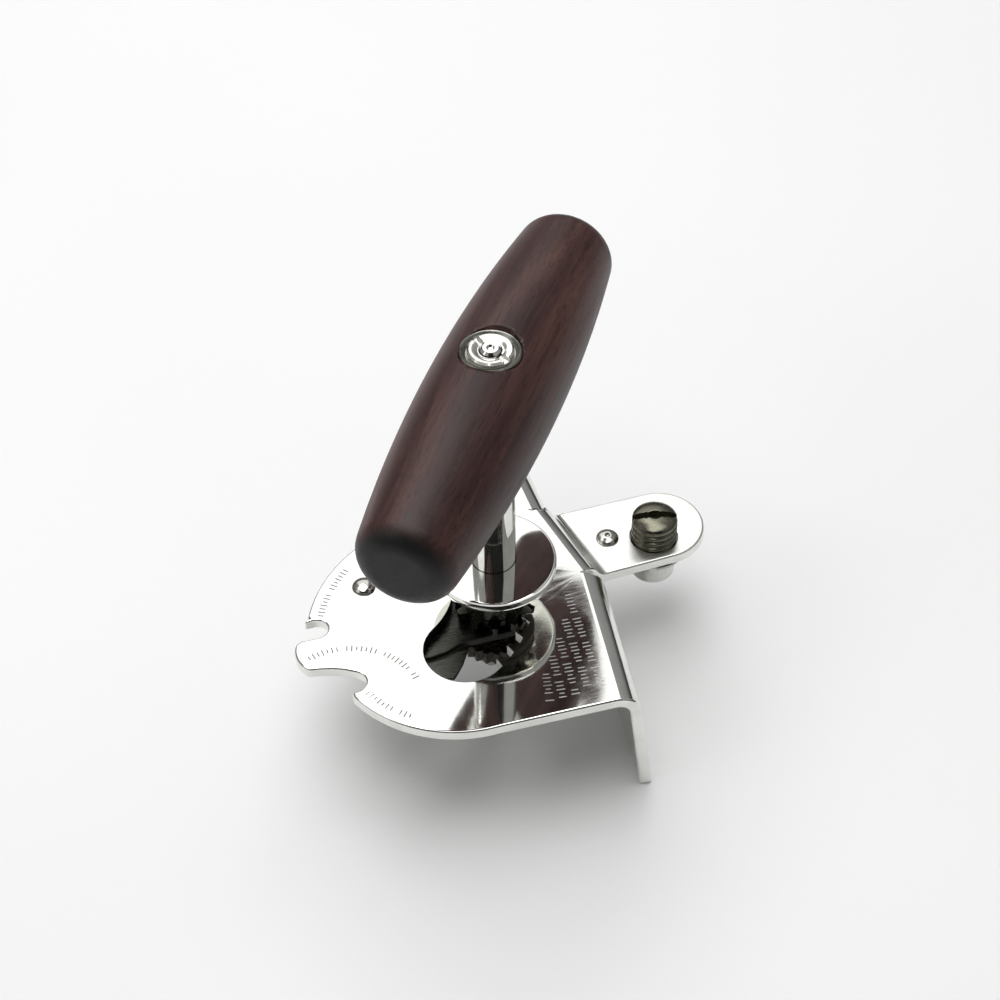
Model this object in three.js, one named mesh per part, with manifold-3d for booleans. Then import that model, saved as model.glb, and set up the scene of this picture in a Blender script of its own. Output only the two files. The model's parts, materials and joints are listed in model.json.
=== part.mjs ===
// A hand-held can opener with a wooden T-handle, built as separate pieces.
// Millimetres, +Z up.  The design frame has its origin on the pivot rivet's axis at the plate's
// top face, X along the plate's straight front edge and Y to the rear.  The finished group is
// shifted at the end, so that the part's origin is the middle of the bottom of its box.
import * as THREE from 'three';
import { mergeVertices } from 'three/addons/utils/BufferGeometryUtils.js';
import Module from 'manifold-3d';

const wasm = await Module();
wasm.setup();

// ---------------------------------------------------------------- driving dimensions

const sheet = 3;                      // thickness of the stamped plate, flange and arm
const gap = 0.3;                      // clearance between neighbouring pieces
const fit = 0.15;                     // radial clearance of a shaft in its hole

const frontEdge = { left: { x: 17.6, y: -49.4 }, right: { x: 44.8, y: -50.7 } };
const leftArc = { x: 20, y: -21, r: 38.5 };
const tipArc = { x: -13.5, y: -15.5, r: 7.1 };         // the nose between the two notches
const frontArc = { x: 16.9, y: -18.95, r: 30.45 };
const bendRadius = 6;                 // outside radius of every bend in the sheet
const flangeDepth = 33;               // plate top to the flange's lower edge
const flangeSplay = 6.8;              // degrees that the flange leans outwards
const armDrop = 5;                    // plate top to arm top
const armHalfWidth = 10.8;
const armEnd = { x: 74.8, y: 1.25 };

const gearModule = 1.5;
const pinionTeeth = 11;
const rackTeethPerTurn = 52;          // the toothed slot edge is part of a 52-tooth ring
const pivotRadius = gearModule * (rackTeethPerTurn - pinionTeeth) / 2;
const rackRadius = gearModule * rackTeethPerTurn / 2;
const restAngle = -25;                // degrees, pivot to drive shaft, as the lever rests
const openAngle = -19;                // the slot's far end
const cutAngle = -56.5;               // the slot's round lobe, where the wheels pinch the rim
const lobeRadius = 9.65;

const shaftRadius = 5.1;
const bearingRadius = 4;              // the shaft where the lever carries it
const threadRadius = 3;
const discRadius = 14.5;
const discBottom = 11.6;
const discTop = 14.2;
const feedRadius = 9.3;
const cutterRadius = 7.5;
const cutterDistance = 44.55;         // pivot to cutter
const cutterAngle = -51;

const handleHeight = 64.65;           // handle axis above the plate
const handleLength = 107.6;
const handleMidRadius = 14.55;
const handleEndRadius = 10.45;
const handleEndRound = 4.8;
const handleAngle = 52.2;             // degrees from +X, as the handle rests

const armRivet = { x: 61.15, y: 0.9 };
const stop = { x: 72.1, y: -1.9 };
const stopRadius = 5.5;
const stopFootRadius = 5.3;

// levels of the faces under the plate
const plateBottom = -sheet;
const leverTop = plateBottom - gap;
const leverBottom = leverTop - 2;
const cutterTop = -6.4;
const cutterBottom = -9;
const feedTop = -9.3;
const feedBottom = -13;
const armTop = -armDrop;
const armBottom = armTop - sheet;

const rad = THREE.MathUtils.degToRad;

function polar(radius, degrees, centre = { x: 0, y: 0 }) {
  const a = rad(degrees);
  return { x: centre.x + radius * Math.cos(a), y: centre.y + radius * Math.sin(a) };
}

const shaftAt = polar(pivotRadius, restAngle);
const lobeAt = polar(pivotRadius, cutAngle);
const cutter = polar(cutterDistance, cutterAngle);

// ---------------------------------------------------------------- solids from geometry

function signedVolume(geometry) {
  const p = geometry.attributes.position;
  const index = geometry.index.array;
  const [a, b, c] = [new THREE.Vector3(), new THREE.Vector3(), new THREE.Vector3()];
  let sum = 0;
  for (let i = 0; i < index.length; i += 3) {
    a.fromBufferAttribute(p, index[i]);
    b.fromBufferAttribute(p, index[i + 1]);
    c.fromBufferAttribute(p, index[i + 2]);
    sum += a.dot(b.cross(c)) / 6;
  }
  return sum;
}

// one closed mesh with shared vertices and its faces pointing out
function closed(geometry) {
  geometry.deleteAttribute('normal');
  geometry.deleteAttribute('uv');
  const merged = mergeVertices(geometry, 1e-4);
  if (signedVolume(merged) < 0) {
    const index = merged.index.array;
    for (let i = 0; i < index.length; i += 3) {
      [index[i + 1], index[i + 2]] = [index[i + 2], index[i + 1]];
    }
  }
  return merged;
}

function toSolid(geometry) {
  const g = closed(geometry);
  return new wasm.Manifold(new wasm.Mesh({
    numProp: 3,
    vertProperties: new Float32Array(g.attributes.position.array),
    triVerts: new Uint32Array(g.index.array),
  }));
}

function toGeometry(solid) {
  const mesh = solid.getMesh();
  const g = new THREE.BufferGeometry();
  g.setAttribute('position', new THREE.BufferAttribute(new Float32Array(mesh.vertProperties), 3));
  g.setIndex(new THREE.BufferAttribute(new Uint32Array(mesh.triVerts), 1));
  return g;
}

function join(...geometries) {
  return toGeometry(geometries.map(toSolid).reduce((whole, next) => whole.add(next)));
}

function cut(body, ...tools) {
  return toGeometry(tools.map(toSolid).reduce((whole, tool) => whole.subtract(tool), toSolid(body)));
}

// a flat outline raised from z0 to z1
function prism(shape, z0, z1, curveSegments = 24) {
  const g = new THREE.ExtrudeGeometry(shape, { depth: z1 - z0, bevelEnabled: false, curveSegments });
  return g.translate(0, 0, z0);
}

// a turned solid about Z, from a list of [radius, height]
function turned(profile, segments = 24) {
  const g = new THREE.LatheGeometry(profile.map(([r, z]) => new THREE.Vector2(r, z)), segments);
  return g.rotateX(Math.PI / 2);
}

function disc(radius, z0, z1, segments = 24) {
  return turned([[0, z0], [radius, z0], [radius, z1], [0, z1]], segments);
}

function ring(inner, outer, z0, z1, segments = 24) {
  return turned([[inner, z0], [outer, z0], [outer, z1], [inner, z1], [inner, z0]], segments);
}

function at(geometry, place) {
  return geometry.translate(place.x, place.y, 0);
}

function polygon(points) {
  return new THREE.Shape(points.map((p) => new THREE.Vector2(p.x, p.y)));
}

function arcPoints(centre, radius, from, to, steps) {
  const points = [];
  for (let i = 0; i <= steps; i += 1) points.push(polar(radius, from + (to - from) * i / steps, centre));
  return points;
}

// hexagon with its flats `across` apart
function hexagon(across) {
  return polygon(arcPoints({ x: 0, y: 0 }, across / Math.sqrt(3), 0, 300, 5));
}

function hexNut(across, bore, z0, z1) {
  const chamfer = turned([
    [0, z0 - 1], [across / 2, z0 - 1], [across / 2, z0], [across, z0 + across * 0.2],
    [across, z1 + 1], [0, z1 + 1],
  ]);
  const body = toSolid(prism(hexagon(across), z0, z1)).intersect(toSolid(chamfer));
  return cut(toGeometry(body), disc(bore, z0 - 1, z1 + 1));
}

// ---------------------------------------------------------------- the toothed slot

const toothPitchDegrees = 360 / rackTeethPerTurn;
const rackTip = rackRadius - 0.95;
const rackRoot = rackRadius + 1.4;

// one rack tooth points at the pivot, on the line to the resting shaft
function rackTooth(middle) {
  const half = toothPitchDegrees / 2;
  return [
    polar(rackRoot, middle - half * 0.62), polar(rackTip, middle - half * 0.22),
    polar(rackTip, middle + half * 0.22), polar(rackRoot, middle + half * 0.62),
  ];
}

function slotOutline() {
  const inner = pivotRadius - lobeRadius;
  const farEnd = polar(pivotRadius, openAngle);
  const points = [
    ...arcPoints({ x: 0, y: 0 }, inner, openAngle, cutAngle, 12),
    ...arcPoints(lobeAt, lobeRadius, cutAngle + 180, cutAngle + 352, 20).slice(1),
  ];
  const firstTooth = -4;
  const lastTooth = 1;
  for (let k = firstTooth; k <= lastTooth; k += 1) {
    points.push(...rackTooth(restAngle + k * toothPitchDegrees));
  }
  points.push(...arcPoints(farEnd, lobeRadius, openAngle + 30, openAngle + 180, 16).slice(0, -1));
  return points;
}

// ---------------------------------------------------------------- sheet-metal frame

// right-hand lines where the flat plate ends and its bends begin
const flangeLine = { front: frontEdge.right, rear: { x: 49.7, y: -11.9 } };
const armLine = { front: { x: 49.7, y: -11.4 }, rear: { x: 45.3, y: 10.8 } };
const stubLine = { front: { x: 44.4, y: 11.6 }, rear: { x: 44.4, y: 26.4 } };

function plateOutline() {
  const hookNotch = [
    { x: -16.2, y: -6.2 }, ...arcPoints({ x: -13.9, y: -8.85 }, 2.65, 90, -90, 10),
    { x: -18, y: -11.3 },
  ];
  const corkNotch = [
    { x: -16.3, y: -20.7 }, { x: -13.4, y: -21.5 }, { x: -11, y: -22.6 },
    ...arcPoints({ x: -10, y: -26.7 }, 2.9, 62, -90, 10), { x: -11.1, y: -29.6 },
  ];
  return polygon([
    frontEdge.left, flangeLine.front, flangeLine.rear, armLine.front, armLine.rear,
    stubLine.front, stubLine.rear, { x: 42.5, y: 26.9 },
    ...arcPoints(leftArc, leftArc.r, 118, 156, 16), ...hookNotch,
    ...arcPoints(tipArc, tipArc.r, 150, 222, 8), ...corkNotch,
    ...arcPoints(frontArc, frontArc.r, 203.5, 268, 24),
  ]);
}

// one bend's cross-section: x is away from the plate, y is up, from the plate's flat edge on
function bendSection(turn, after) {
  const outside = [];
  const inside = [];
  const steps = 8;
  for (let i = 0; i <= steps; i += 1) {
    const a = rad(turn * i / steps);
    outside.push({ x: bendRadius * Math.sin(a), y: -bendRadius + bendRadius * Math.cos(a) });
    inside.push({
      x: (bendRadius - sheet) * Math.sin(a), y: -bendRadius + (bendRadius - sheet) * Math.cos(a),
    });
  }
  const overlap = 0.5;
  return [{ x: -overlap, y: 0 }, ...outside, ...after, ...inside.reverse(), { x: -overlap, y: -sheet }];
}

// pushes a cross-section along a bend line, so that its x is square to the line
function alongBend(section, line, trimFront = 0, trimRear = 0) {
  const dx = line.rear.x - line.front.x;
  const dy = line.rear.y - line.front.y;
  const length = Math.hypot(dx, dy);
  const g = new THREE.ExtrudeGeometry(polygon(section), {
    depth: length - trimFront - trimRear, bevelEnabled: false, curveSegments: 12,
  });
  const along = new THREE.Vector3(dx / length, dy / length, 0);
  const away = new THREE.Vector3(along.y, -along.x, 0);
  g.translate(0, 0, trimFront);
  g.applyMatrix4(new THREE.Matrix4().makeBasis(away, new THREE.Vector3(0, 0, 1), along));
  return g.translate(line.front.x, line.front.y, 0);
}

function flange() {
  const turn = 90 - flangeSplay;
  const lean = rad(flangeSplay);
  const top = { x: bendRadius * Math.sin(rad(turn)), y: -bendRadius * (1 - Math.cos(rad(turn))) };
  const run = (flangeDepth + top.y) / Math.cos(lean);
  const outer = { x: top.x + run * Math.sin(lean), y: top.y - run * Math.cos(lean) };
  const inner = { x: outer.x - sheet / Math.cos(lean), y: outer.y };
  return alongBend(bendSection(turn, [outer, inner]), flangeLine);
}

// the step between plate and arm: a bend down, then an equal bend back
const stepMiddle = bendRadius - sheet / 2;
const stepTurn = THREE.MathUtils.radToDeg(Math.acos(1 - armDrop / (2 * stepMiddle)));
const stepRun = 2 * stepMiddle * Math.sin(rad(stepTurn));

function armStep() {
  const back = { top: [], bottom: [] };
  const steps = 8;
  for (let i = 1; i <= steps; i += 1) {
    const a = rad(stepTurn * (1 - i / steps));
    const small = bendRadius - sheet;
    back.top.push({ x: stepRun - small * Math.sin(a), y: armTop + small - small * Math.cos(a) });
    back.bottom.push({
      x: stepRun - bendRadius * Math.sin(a), y: armTop + small - bendRadius * Math.cos(a),
    });
  }
  const flat = 0.5;
  const after = [
    ...back.top, { x: stepRun + flat, y: armTop }, { x: stepRun + flat, y: armBottom },
    ...back.bottom.reverse(),
  ];
  return alongBend(bendSection(stepTurn, after), armLine);
}

function armPlate() {
  const dx = armLine.rear.x - armLine.front.x;
  const dy = armLine.rear.y - armLine.front.y;
  const length = Math.hypot(dx, dy);
  const reach = (p) => ({ x: p.x + stepRun * dy / length, y: p.y - stepRun * dx / length });
  const outline = polygon([
    reach(armLine.front), ...arcPoints(armEnd, armHalfWidth, -86.5, 93.5, 22), reach(armLine.rear),
  ]);
  return prism(outline, armBottom, armTop);
}

function rearStub() {
  return alongBend(bendSection(62, []), stubLine);
}

function framePlate() {
  const plate = plateOutline();
  const blank = cut(prism(plate, plateBottom, 0), prism(polygon(slotOutline()), plateBottom - 1, 1));
  const sheetMetal = join(blank, flange(), armStep(), armPlate(), rearStub());
  return cut(
    sheetMetal,
    disc(2.3, plateBottom - 1, 1),
    at(disc(2.1, armBottom - 1, armTop + 1), armRivet),
    at(disc(stopRadius + gap, armBottom - 1, armTop + 1), stop),
    at(disc(2.3, plateBottom - 1, -0.7), cutter),
  );
}

// a rivet: domed head above `top`, shank, and a flat head ending at `bottom`
function rivet(headRadius, headHeight, shank, top, lowerTop, bottom, dimple) {
  const dome = [];
  const steps = 5;
  for (let i = 0; i <= steps; i += 1) {
    const a = rad(90 * i / steps);
    dome.push([headRadius * Math.cos(a), top + headHeight * Math.sin(a)]);
  }
  dome.pop();
  const crown = dimple
    ? [[0.9, top + headHeight * 0.97], [0.5, top + headHeight * 0.6], [0, top + headHeight * 0.5]]
    : [[0, top + headHeight]];
  const low = headRadius * 0.95;
  return turned([
    [0, bottom], [low - 0.4, bottom], [low, bottom + 0.4], [low, lowerTop], [shank, lowerTop],
    [shank, top], ...dome, ...crown,
  ]);
}

// ---------------------------------------------------------------- swing lever and pinion

function swingLever() {
  const boss = 8.4;
  const eye = 6.5;
  const shoulder = { x: 9.5, y: -18.2 };
  const rear = { x: shaftAt.x * 0.5 + 2, y: shaftAt.y * 0.5 + 6.5 };
  const bar = polygon([
    ...arcPoints({ x: 0, y: 0 }, eye, 50, 195, 12),
    ...arcPoints(shoulder, 4.6, 215, 270, 5),
    { x: 13.2, y: -22.4 }, { x: 17.5, y: -20.9 },
    ...arcPoints(shaftAt, boss, -105, 75, 16), rear,
  ]);
  // the thinner shelf in front of the bar closes the near side of the slot's lobe
  const shelf = polygon([
    { x: 0, y: -10 }, { x: 3.5, y: -22 }, { x: 7.5, y: -28.2 }, { x: 13, y: -29.6 },
    { x: 16.2, y: -26 }, { x: 19, y: -21.6 }, shaftAt,
  ]);
  return cut(
    join(prism(bar, leverBottom, leverTop), prism(shelf, leverBottom, leverBottom + 0.8)),
    disc(2.3, leverBottom - 1, leverTop + 1),
    at(disc(6, leverBottom - 1, leverTop + 1), shaftAt),
  );
}

// a flanged bush pressed up into the lever
function bearingBush() {
  const bore = bearingRadius + fit;
  const flangeTop = leverBottom - 0.1;
  return turned([
    [bore, flangeTop - 0.7], [6.8, flangeTop - 0.7], [6.8, flangeTop], [5.8, flangeTop],
    [5.8, leverTop], [bore, leverTop], [bore, flangeTop - 0.7],
  ]);
}

function pinion() {
  const root = 7;
  const tip = 9.25;
  const pitch = 360 / pinionTeeth;
  const points = [];
  for (let i = 0; i < pinionTeeth; i += 1) {
    const middle = (i + 0.5) * pitch;
    points.push(
      polar(root, middle - pitch * 0.30), polar(gearModule * pinionTeeth / 2, middle - pitch * 0.21),
      polar(tip, middle - pitch * 0.10), polar(tip, middle + pitch * 0.10),
      polar(gearModule * pinionTeeth / 2, middle + pitch * 0.21), polar(root, middle + pitch * 0.30),
    );
  }
  const teethTop = -0.3;
  const teeth = prism(polygon(points), plateBottom + 0.1, teethTop);
  const hub = disc(6.9, teethTop - 0.5, 9);
  return cut(join(teeth, hub), disc(shaftRadius + gap, -5, 12));
}

// ---------------------------------------------------------------- drive shaft and what it carries

const handleTop = handleHeight + handleMidRadius;
const handleBottom = handleHeight - handleMidRadius;
const spigotRadius = 3.6;

function driveShaft() {
  const shoulder = handleBottom + 0.5;
  return turned([
    [0, -19], [threadRadius - 0.5, -19], [threadRadius, -18.5], [threadRadius, feedTop + 0.1],
    [bearingRadius, feedTop + 0.1], [bearingRadius, plateBottom + 0.1],
    [shaftRadius, plateBottom + 0.1], [shaftRadius, shoulder], [spigotRadius, shoulder],
    [spigotRadius, handleTop - 3], [2.3, handleTop - 2.6], [2.3, handleTop - 0.4],
    [1.9, handleTop], [0, handleTop],
  ]);
}

function clutchDisc() {
  const bore = shaftRadius + fit;
  return turned([
    [bore, discBottom], [discRadius - 0.6, discBottom], [discRadius, discBottom + 0.5],
    [discRadius, discTop - 0.7], [discRadius - 0.7, discTop], [bore, discTop], [bore, discBottom],
  ], 40);
}

function feedWheel() {
  const teeth = 24;
  const points = [];
  for (let i = 0; i < teeth; i += 1) {
    const a = 360 * i / teeth;
    points.push(polar(feedRadius, a), polar(feedRadius - 0.7, a + 180 / teeth));
  }
  return cut(prism(polygon(points), feedBottom, feedTop), disc(threadRadius + fit, -20, 0));
}

function handleProfileRadius(t) {
  return handleMidRadius - (handleMidRadius - handleEndRadius) * t * t;
}

function handleGrip() {
  const half = handleLength / 2;
  const round = handleEndRound;
  const profile = [[0, -half]];
  for (const side of [-1, 1]) {
    const corner = [];
    for (let i = 0; i <= 4; i += 1) {
      const a = rad(90 * i / 4);
      const along = half - round + round * Math.cos(a);
      corner.push([handleProfileRadius(along / half) - round + round * Math.sin(a), side * along]);
    }
    if (side < 0) {
      profile.push(...corner);
      for (let i = 1; i < 14; i += 1) {
        const t = -1 + 2 * i / 14;
        profile.push([handleProfileRadius(t), t * half]);
      }
    } else {
      profile.push(...corner.reverse());
    }
  }
  profile.push([0, half]);
  const barrel = turned(profile, 28).rotateY(Math.PI / 2).rotateZ(rad(handleAngle));
  return cut(
    barrel.translate(0, 0, handleHeight),
    disc(spigotRadius + fit, handleBottom - 5, handleTop + 5),
    disc(6.9, handleTop - 2.6, handleTop + 5),
    disc(7.4, handleBottom - 5, handleBottom + 1.6),
  );
}

function handleCollar() {
  return ring(shaftRadius + fit, 7.1, handleBottom - 2.4, handleBottom + 0.3);
}

function handleCup() {
  const low = handleTop - 2.5;
  return turned([
    [spigotRadius + 0.5, low], [6.6, low], [6.6, low + 1.5], [6.1, low + 1.7], [5.4, low + 0.7],
    [spigotRadius + 0.5, low + 0.7], [spigotRadius + 0.5, low],
  ]);
}

function handleNut() {
  const low = handleTop - 1.6;
  const nut = ring(2.5, 5, low, handleTop - 0.3);
  const slot = new THREE.BoxGeometry(12, 1.3, 2).rotateZ(rad(-22)).translate(0, 0, handleTop + 0.1);
  return cut(nut, slot);
}

// ---------------------------------------------------------------- cutter and stop screw

function cutterWheel() {
  const bore = 4.4;
  return turned([
    [bore, cutterBottom], [cutterRadius, cutterBottom], [cutterRadius, cutterBottom + 0.15],
    [5.2, cutterTop], [bore, cutterTop], [bore, cutterBottom],
  ], 36);
}

function cutterStud() {
  return turned([
    [0, -13.6], [1.7, -13.6], [2, -13.3], [2, cutterBottom - 0.2], [3, cutterBottom - 0.2],
    [3, cutterTop + 0.3], [4.5, cutterTop + 0.3], [4.5, plateBottom - 0.2], [2, plateBottom - 0.2],
    [2, -0.9], [0, -0.9],
  ]);
}

// threaded pin with a domed, slotted head
function stopScrew() {
  const top = armTop + 7.6;
  const pitch = 1.75;
  const turns = 4;
  const root = stopRadius - 0.65;
  const profile = [[0, -11.8], [2.7, -11.8], [2.7, armBottom - 1.5], [root, armBottom - 1.5]];
  let z = armBottom - 1.2;
  for (let i = 0; i < turns; i += 1) {
    profile.push([stopRadius, z + 0.45], [stopRadius, z + 0.95], [root, z + 1.4]);
    z += pitch;
  }
  profile.push([stopRadius, z + 0.3], [stopRadius, top - 1.6]);
  profile.push([stopRadius - 0.45, top - 0.8], [stopRadius - 1.75, top - 0.25], [0, top]);
  const slot = new THREE.BoxGeometry(12, 1.7, 3.6).rotateZ(rad(-15)).translate(0, 0, top);
  return cut(turned(profile), slot);
}

function stopFoot() {
  const top = armBottom - 1.6;
  const low = -16.7;
  const edge = 0.5;
  return cut(
    turned([
      [0, low], [stopFootRadius - edge, low], [stopFootRadius, low + edge], [stopFootRadius, top],
      [0, top],
    ]),
    disc(3, -12.1, top + 1),
  );
}

// a strip under the arm that presses on the screw's thread
function lockSpring() {
  const outline = polygon([
    ...arcPoints(stop, stopRadius + 2.2, -100, 130, 16), ...arcPoints(armRivet, 4, 110, 250, 10),
  ]);
  return cut(
    prism(outline, armBottom - 1, armBottom - 0.3),
    at(disc(stopRadius + gap, -20, 0), stop),
    at(disc(2.1, -20, 0), armRivet),
  );
}

// ---------------------------------------------------------------- materials and assembly

function metal(color, roughness) {
  return new THREE.MeshStandardMaterial({ color, roughness, metalness: 1 });
}

const part = new THREE.Group();
const origin = { x: 0, y: 0 };

function piece(name, geometry, material, place = origin) {
  const mesh = new THREE.Mesh(closed(geometry), material);
  mesh.name = name;
  mesh.position.set(place.x, place.y, 0);
  part.add(mesh);
}

const wood = new THREE.MeshStandardMaterial({ color: 0x3c2624, roughness: 0.45, metalness: 0 });
const fibre = new THREE.MeshStandardMaterial({ color: 0x2a2320, roughness: 0.8, metalness: 0 });

piece('frame_plate', framePlate(), metal(0xd8d8d4, 0.12));
piece('pivot_rivet', rivet(2.75, 1.35, 2, 0.05, -6.2, -7.4, false), metal(0xc9c9c6, 0.25));
piece('pivot_washer', ring(2.3, 4.2, -6.1, -5.4), metal(0xb8b8b4, 0.3));
piece('cutter_stud', cutterStud(), metal(0xb0b0ae, 0.3), cutter);
piece('cutter_washer', ring(2.2, 4.4, -10.1, cutterBottom - 0.3), metal(0xb8b8b4, 0.3), cutter);
piece('cutter_nut', hexNut(7, 2.2, -13, -10.3), metal(0xb8b8b4, 0.3), cutter);
piece('arm_rivet', rivet(2.75, 1.3, 1.8, armTop + 0.05, -9.1, -10.2, true), metal(0xb9b7ae, 0.3), armRivet);
piece('lock_spring', lockSpring(), metal(0xa9a9a4, 0.3));

piece('cutter_wheel', cutterWheel(), metal(0xc4c4c0, 0.18), cutter);
piece('cutter_bush', ring(3.15, 4.2, cutterBottom, cutterTop), metal(0xb59a5b, 0.35), cutter);

piece('swing_lever', swingLever(), metal(0xbdbdb8, 0.25));
piece('bearing_bush', bearingBush(), metal(0xb59a5b, 0.35), shaftAt);

const pinionGeometry = pinion().rotateZ(rad(restAngle));
piece('pinion', pinionGeometry, metal(0x6a6862, 0.35), shaftAt);

piece('drive_shaft', driveShaft(), metal(0xd6d6d2, 0.12), shaftAt);
piece('clutch_disc', clutchDisc(), metal(0xd6d6d2, 0.12), shaftAt);
piece('friction_washer', ring(shaftRadius + fit, 9.5, 9.3, discBottom - gap), fibre, shaftAt);
piece('spacer_bush', ring(bearingRadius + fit, 5.2, cutterBottom, -6.2), metal(0xb8b8b4, 0.3), shaftAt);
piece('feed_wheel', feedWheel(), metal(0xaaaaa6, 0.3), shaftAt);
piece('feed_washer', ring(threadRadius + fit, 5.5, -14.1, feedBottom - 0.2), metal(0xb8b8b4, 0.3), shaftAt);
piece('feed_nut', hexNut(10, threadRadius + fit, -18.1, -14.3), metal(0xb8b8b4, 0.3), shaftAt);
piece('handle_grip', handleGrip(), wood, shaftAt);
piece('handle_collar', handleCollar(), metal(0xc9c9c6, 0.2), shaftAt);
piece('handle_cup', handleCup(), metal(0xb9b7ae, 0.3), shaftAt);
piece('handle_nut', handleNut(), metal(0xdededa, 0.2), shaftAt);

piece('stop_screw', stopScrew(), metal(0x6c685a, 0.35), stop);
piece('stop_foot', stopFoot(), metal(0xc4c4c0, 0.3), stop);

// origin at the middle of the bottom of the box
const box = new THREE.Box3().setFromObject(part);
const middle = box.getCenter(new THREE.Vector3());
part.position.set(-middle.x, -middle.y, -box.min.z);

export default part;
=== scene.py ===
import json
import math

import bmesh
import bpy
from mathutils import Matrix, Vector


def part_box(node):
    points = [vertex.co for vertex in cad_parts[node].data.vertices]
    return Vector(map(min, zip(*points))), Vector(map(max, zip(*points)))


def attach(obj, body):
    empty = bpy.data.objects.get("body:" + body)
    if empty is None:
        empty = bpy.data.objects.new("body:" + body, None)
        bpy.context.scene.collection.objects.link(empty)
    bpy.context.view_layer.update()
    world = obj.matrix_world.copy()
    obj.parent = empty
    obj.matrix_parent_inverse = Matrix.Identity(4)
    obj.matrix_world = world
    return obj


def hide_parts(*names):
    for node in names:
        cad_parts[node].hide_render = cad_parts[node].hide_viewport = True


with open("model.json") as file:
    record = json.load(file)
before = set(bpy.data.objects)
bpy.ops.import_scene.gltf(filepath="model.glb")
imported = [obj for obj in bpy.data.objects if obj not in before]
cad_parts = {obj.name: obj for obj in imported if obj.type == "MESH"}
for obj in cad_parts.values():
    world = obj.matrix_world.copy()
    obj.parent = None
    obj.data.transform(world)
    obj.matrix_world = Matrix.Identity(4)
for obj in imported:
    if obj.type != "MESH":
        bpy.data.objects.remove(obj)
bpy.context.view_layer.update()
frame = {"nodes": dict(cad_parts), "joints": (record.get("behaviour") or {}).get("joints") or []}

MM = 0.001
joints = {j["name"]: j for j in frame["joints"]}
pivot_axis = Vector(joints["lever_swing"]["pos_m"])
shaft_axis = Vector(joints["handle_turn"]["pos_m"])
cutter_axis = Vector(joints["cutter_spin"]["pos_m"])
plate_top = shaft_axis.z
plate_bottom = plate_top - 3 * MM
arm_top = plate_top - 5 * MM
arm_start = pivot_axis.x + 52 * MM

shaft_radius = 5.1 * MM
bearing_radius = 4 * MM
thread_radius = 3 * MM
spigot_radius = 3.6 * MM
shaft_hole = shaft_radius + 0.15 * MM
bearing_hole = bearing_radius + 0.15 * MM
thread_hole = thread_radius + 0.15 * MM

handle_angle = math.radians(52.2)
handle_length = 107.6 * MM
handle_middle_radius = 14.55 * MM
handle_end_radius = 10.45 * MM
handle_end_round = 4.8 * MM
handle_centre = (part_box("handle_grip")[0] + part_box("handle_grip")[1]) / 2
rest_angle = math.atan2(shaft_axis.y - pivot_axis.y, shaft_axis.x - pivot_axis.x)


# ------------------------------------------------------------------ measures taken from the frame

class Round:
    """A turned CAD node's axis, outside radius and heights."""

    def __init__(self, node):
        low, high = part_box(node)
        self.axis = (low + high) / 2
        self.radius = max(high.x - low.x, high.y - low.y) / 2
        self.low = low.z
        self.high = high.z


def design(x, y):
    """A place on the plate, in millimetres from the pivot, as a point in the part's frame."""
    return pivot_axis.x + x * MM, pivot_axis.y + y * MM


# ------------------------------------------------------------------ node-based materials

def add(tree, kind, settings=None, **inputs):
    """Adds a shader node. A keyword names an input socket, and holds its value or what feeds it."""
    node = tree.nodes.new(kind)
    for key, value in (settings or {}).items():
        setattr(node, key, value)
    for key, value in inputs.items():
        socket = node.inputs[key.replace("_", " ")]
        if isinstance(value, bpy.types.NodeSocket):
            tree.links.new(value, socket)
        else:
            socket.default_value = value
    return node


def ramp(tree, factor, stops):
    node = add(tree, "ShaderNodeValToRGB", Fac=factor)
    elements = node.color_ramp.elements
    while len(elements) < len(stops):
        elements.new(0.5)
    for element, (position, color) in zip(elements, stops):
        element.position = position
        element.color = (*color, 1) if len(color) == 3 else color
    return node.outputs["Color"]


def grey(level):
    return (level, level, level)


def spread(tree, value, low, high, from_low=0.3, from_high=0.7):
    node = add(tree, "ShaderNodeMapRange", Value=value, From_Min=from_low, From_Max=from_high,
               To_Min=low, To_Max=high)
    return node.outputs["Result"]


def object_coordinates(tree, scale=(1, 1, 1), turn=(0, 0, 0), origin=(0, 0, 0)):
    """Object coordinates, moved so that origin is at 0, then turned and scaled."""
    coords = add(tree, "ShaderNodeTexCoord").outputs["Object"]
    moved = add(tree, "ShaderNodeVectorMath", {"operation": "SUBTRACT"})
    tree.links.new(coords, moved.inputs[0])
    moved.inputs[1].default_value = origin
    turned_by = add(tree, "ShaderNodeMapping", Vector=moved.outputs["Vector"], Rotation=turn)
    scaled = add(tree, "ShaderNodeMapping", Vector=turned_by.outputs["Vector"], Scale=scale)
    return scaled.outputs["Vector"]


def noise(tree, vector, scale=1.0, detail=3.0, roughness=0.5, distortion=0.0):
    node = add(tree, "ShaderNodeTexNoise", Vector=vector, Scale=scale, Detail=detail,
               Roughness=roughness, Distortion=distortion)
    return node.outputs["Fac"]


def bump(tree, height, strength, distance, below=None):
    node = add(tree, "ShaderNodeBump", Strength=strength, Distance=distance, Height=height)
    if below is not None:
        tree.links.new(below, node.inputs["Normal"])
    return node.outputs["Normal"]


def principled(name):
    material = bpy.data.materials.new(name)
    material.use_nodes = True
    return material, material.node_tree, material.node_tree.nodes["Principled BSDF"]


def scaled_color(color, factor):
    return tuple(min(1.0, c * factor) for c in color)


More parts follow.
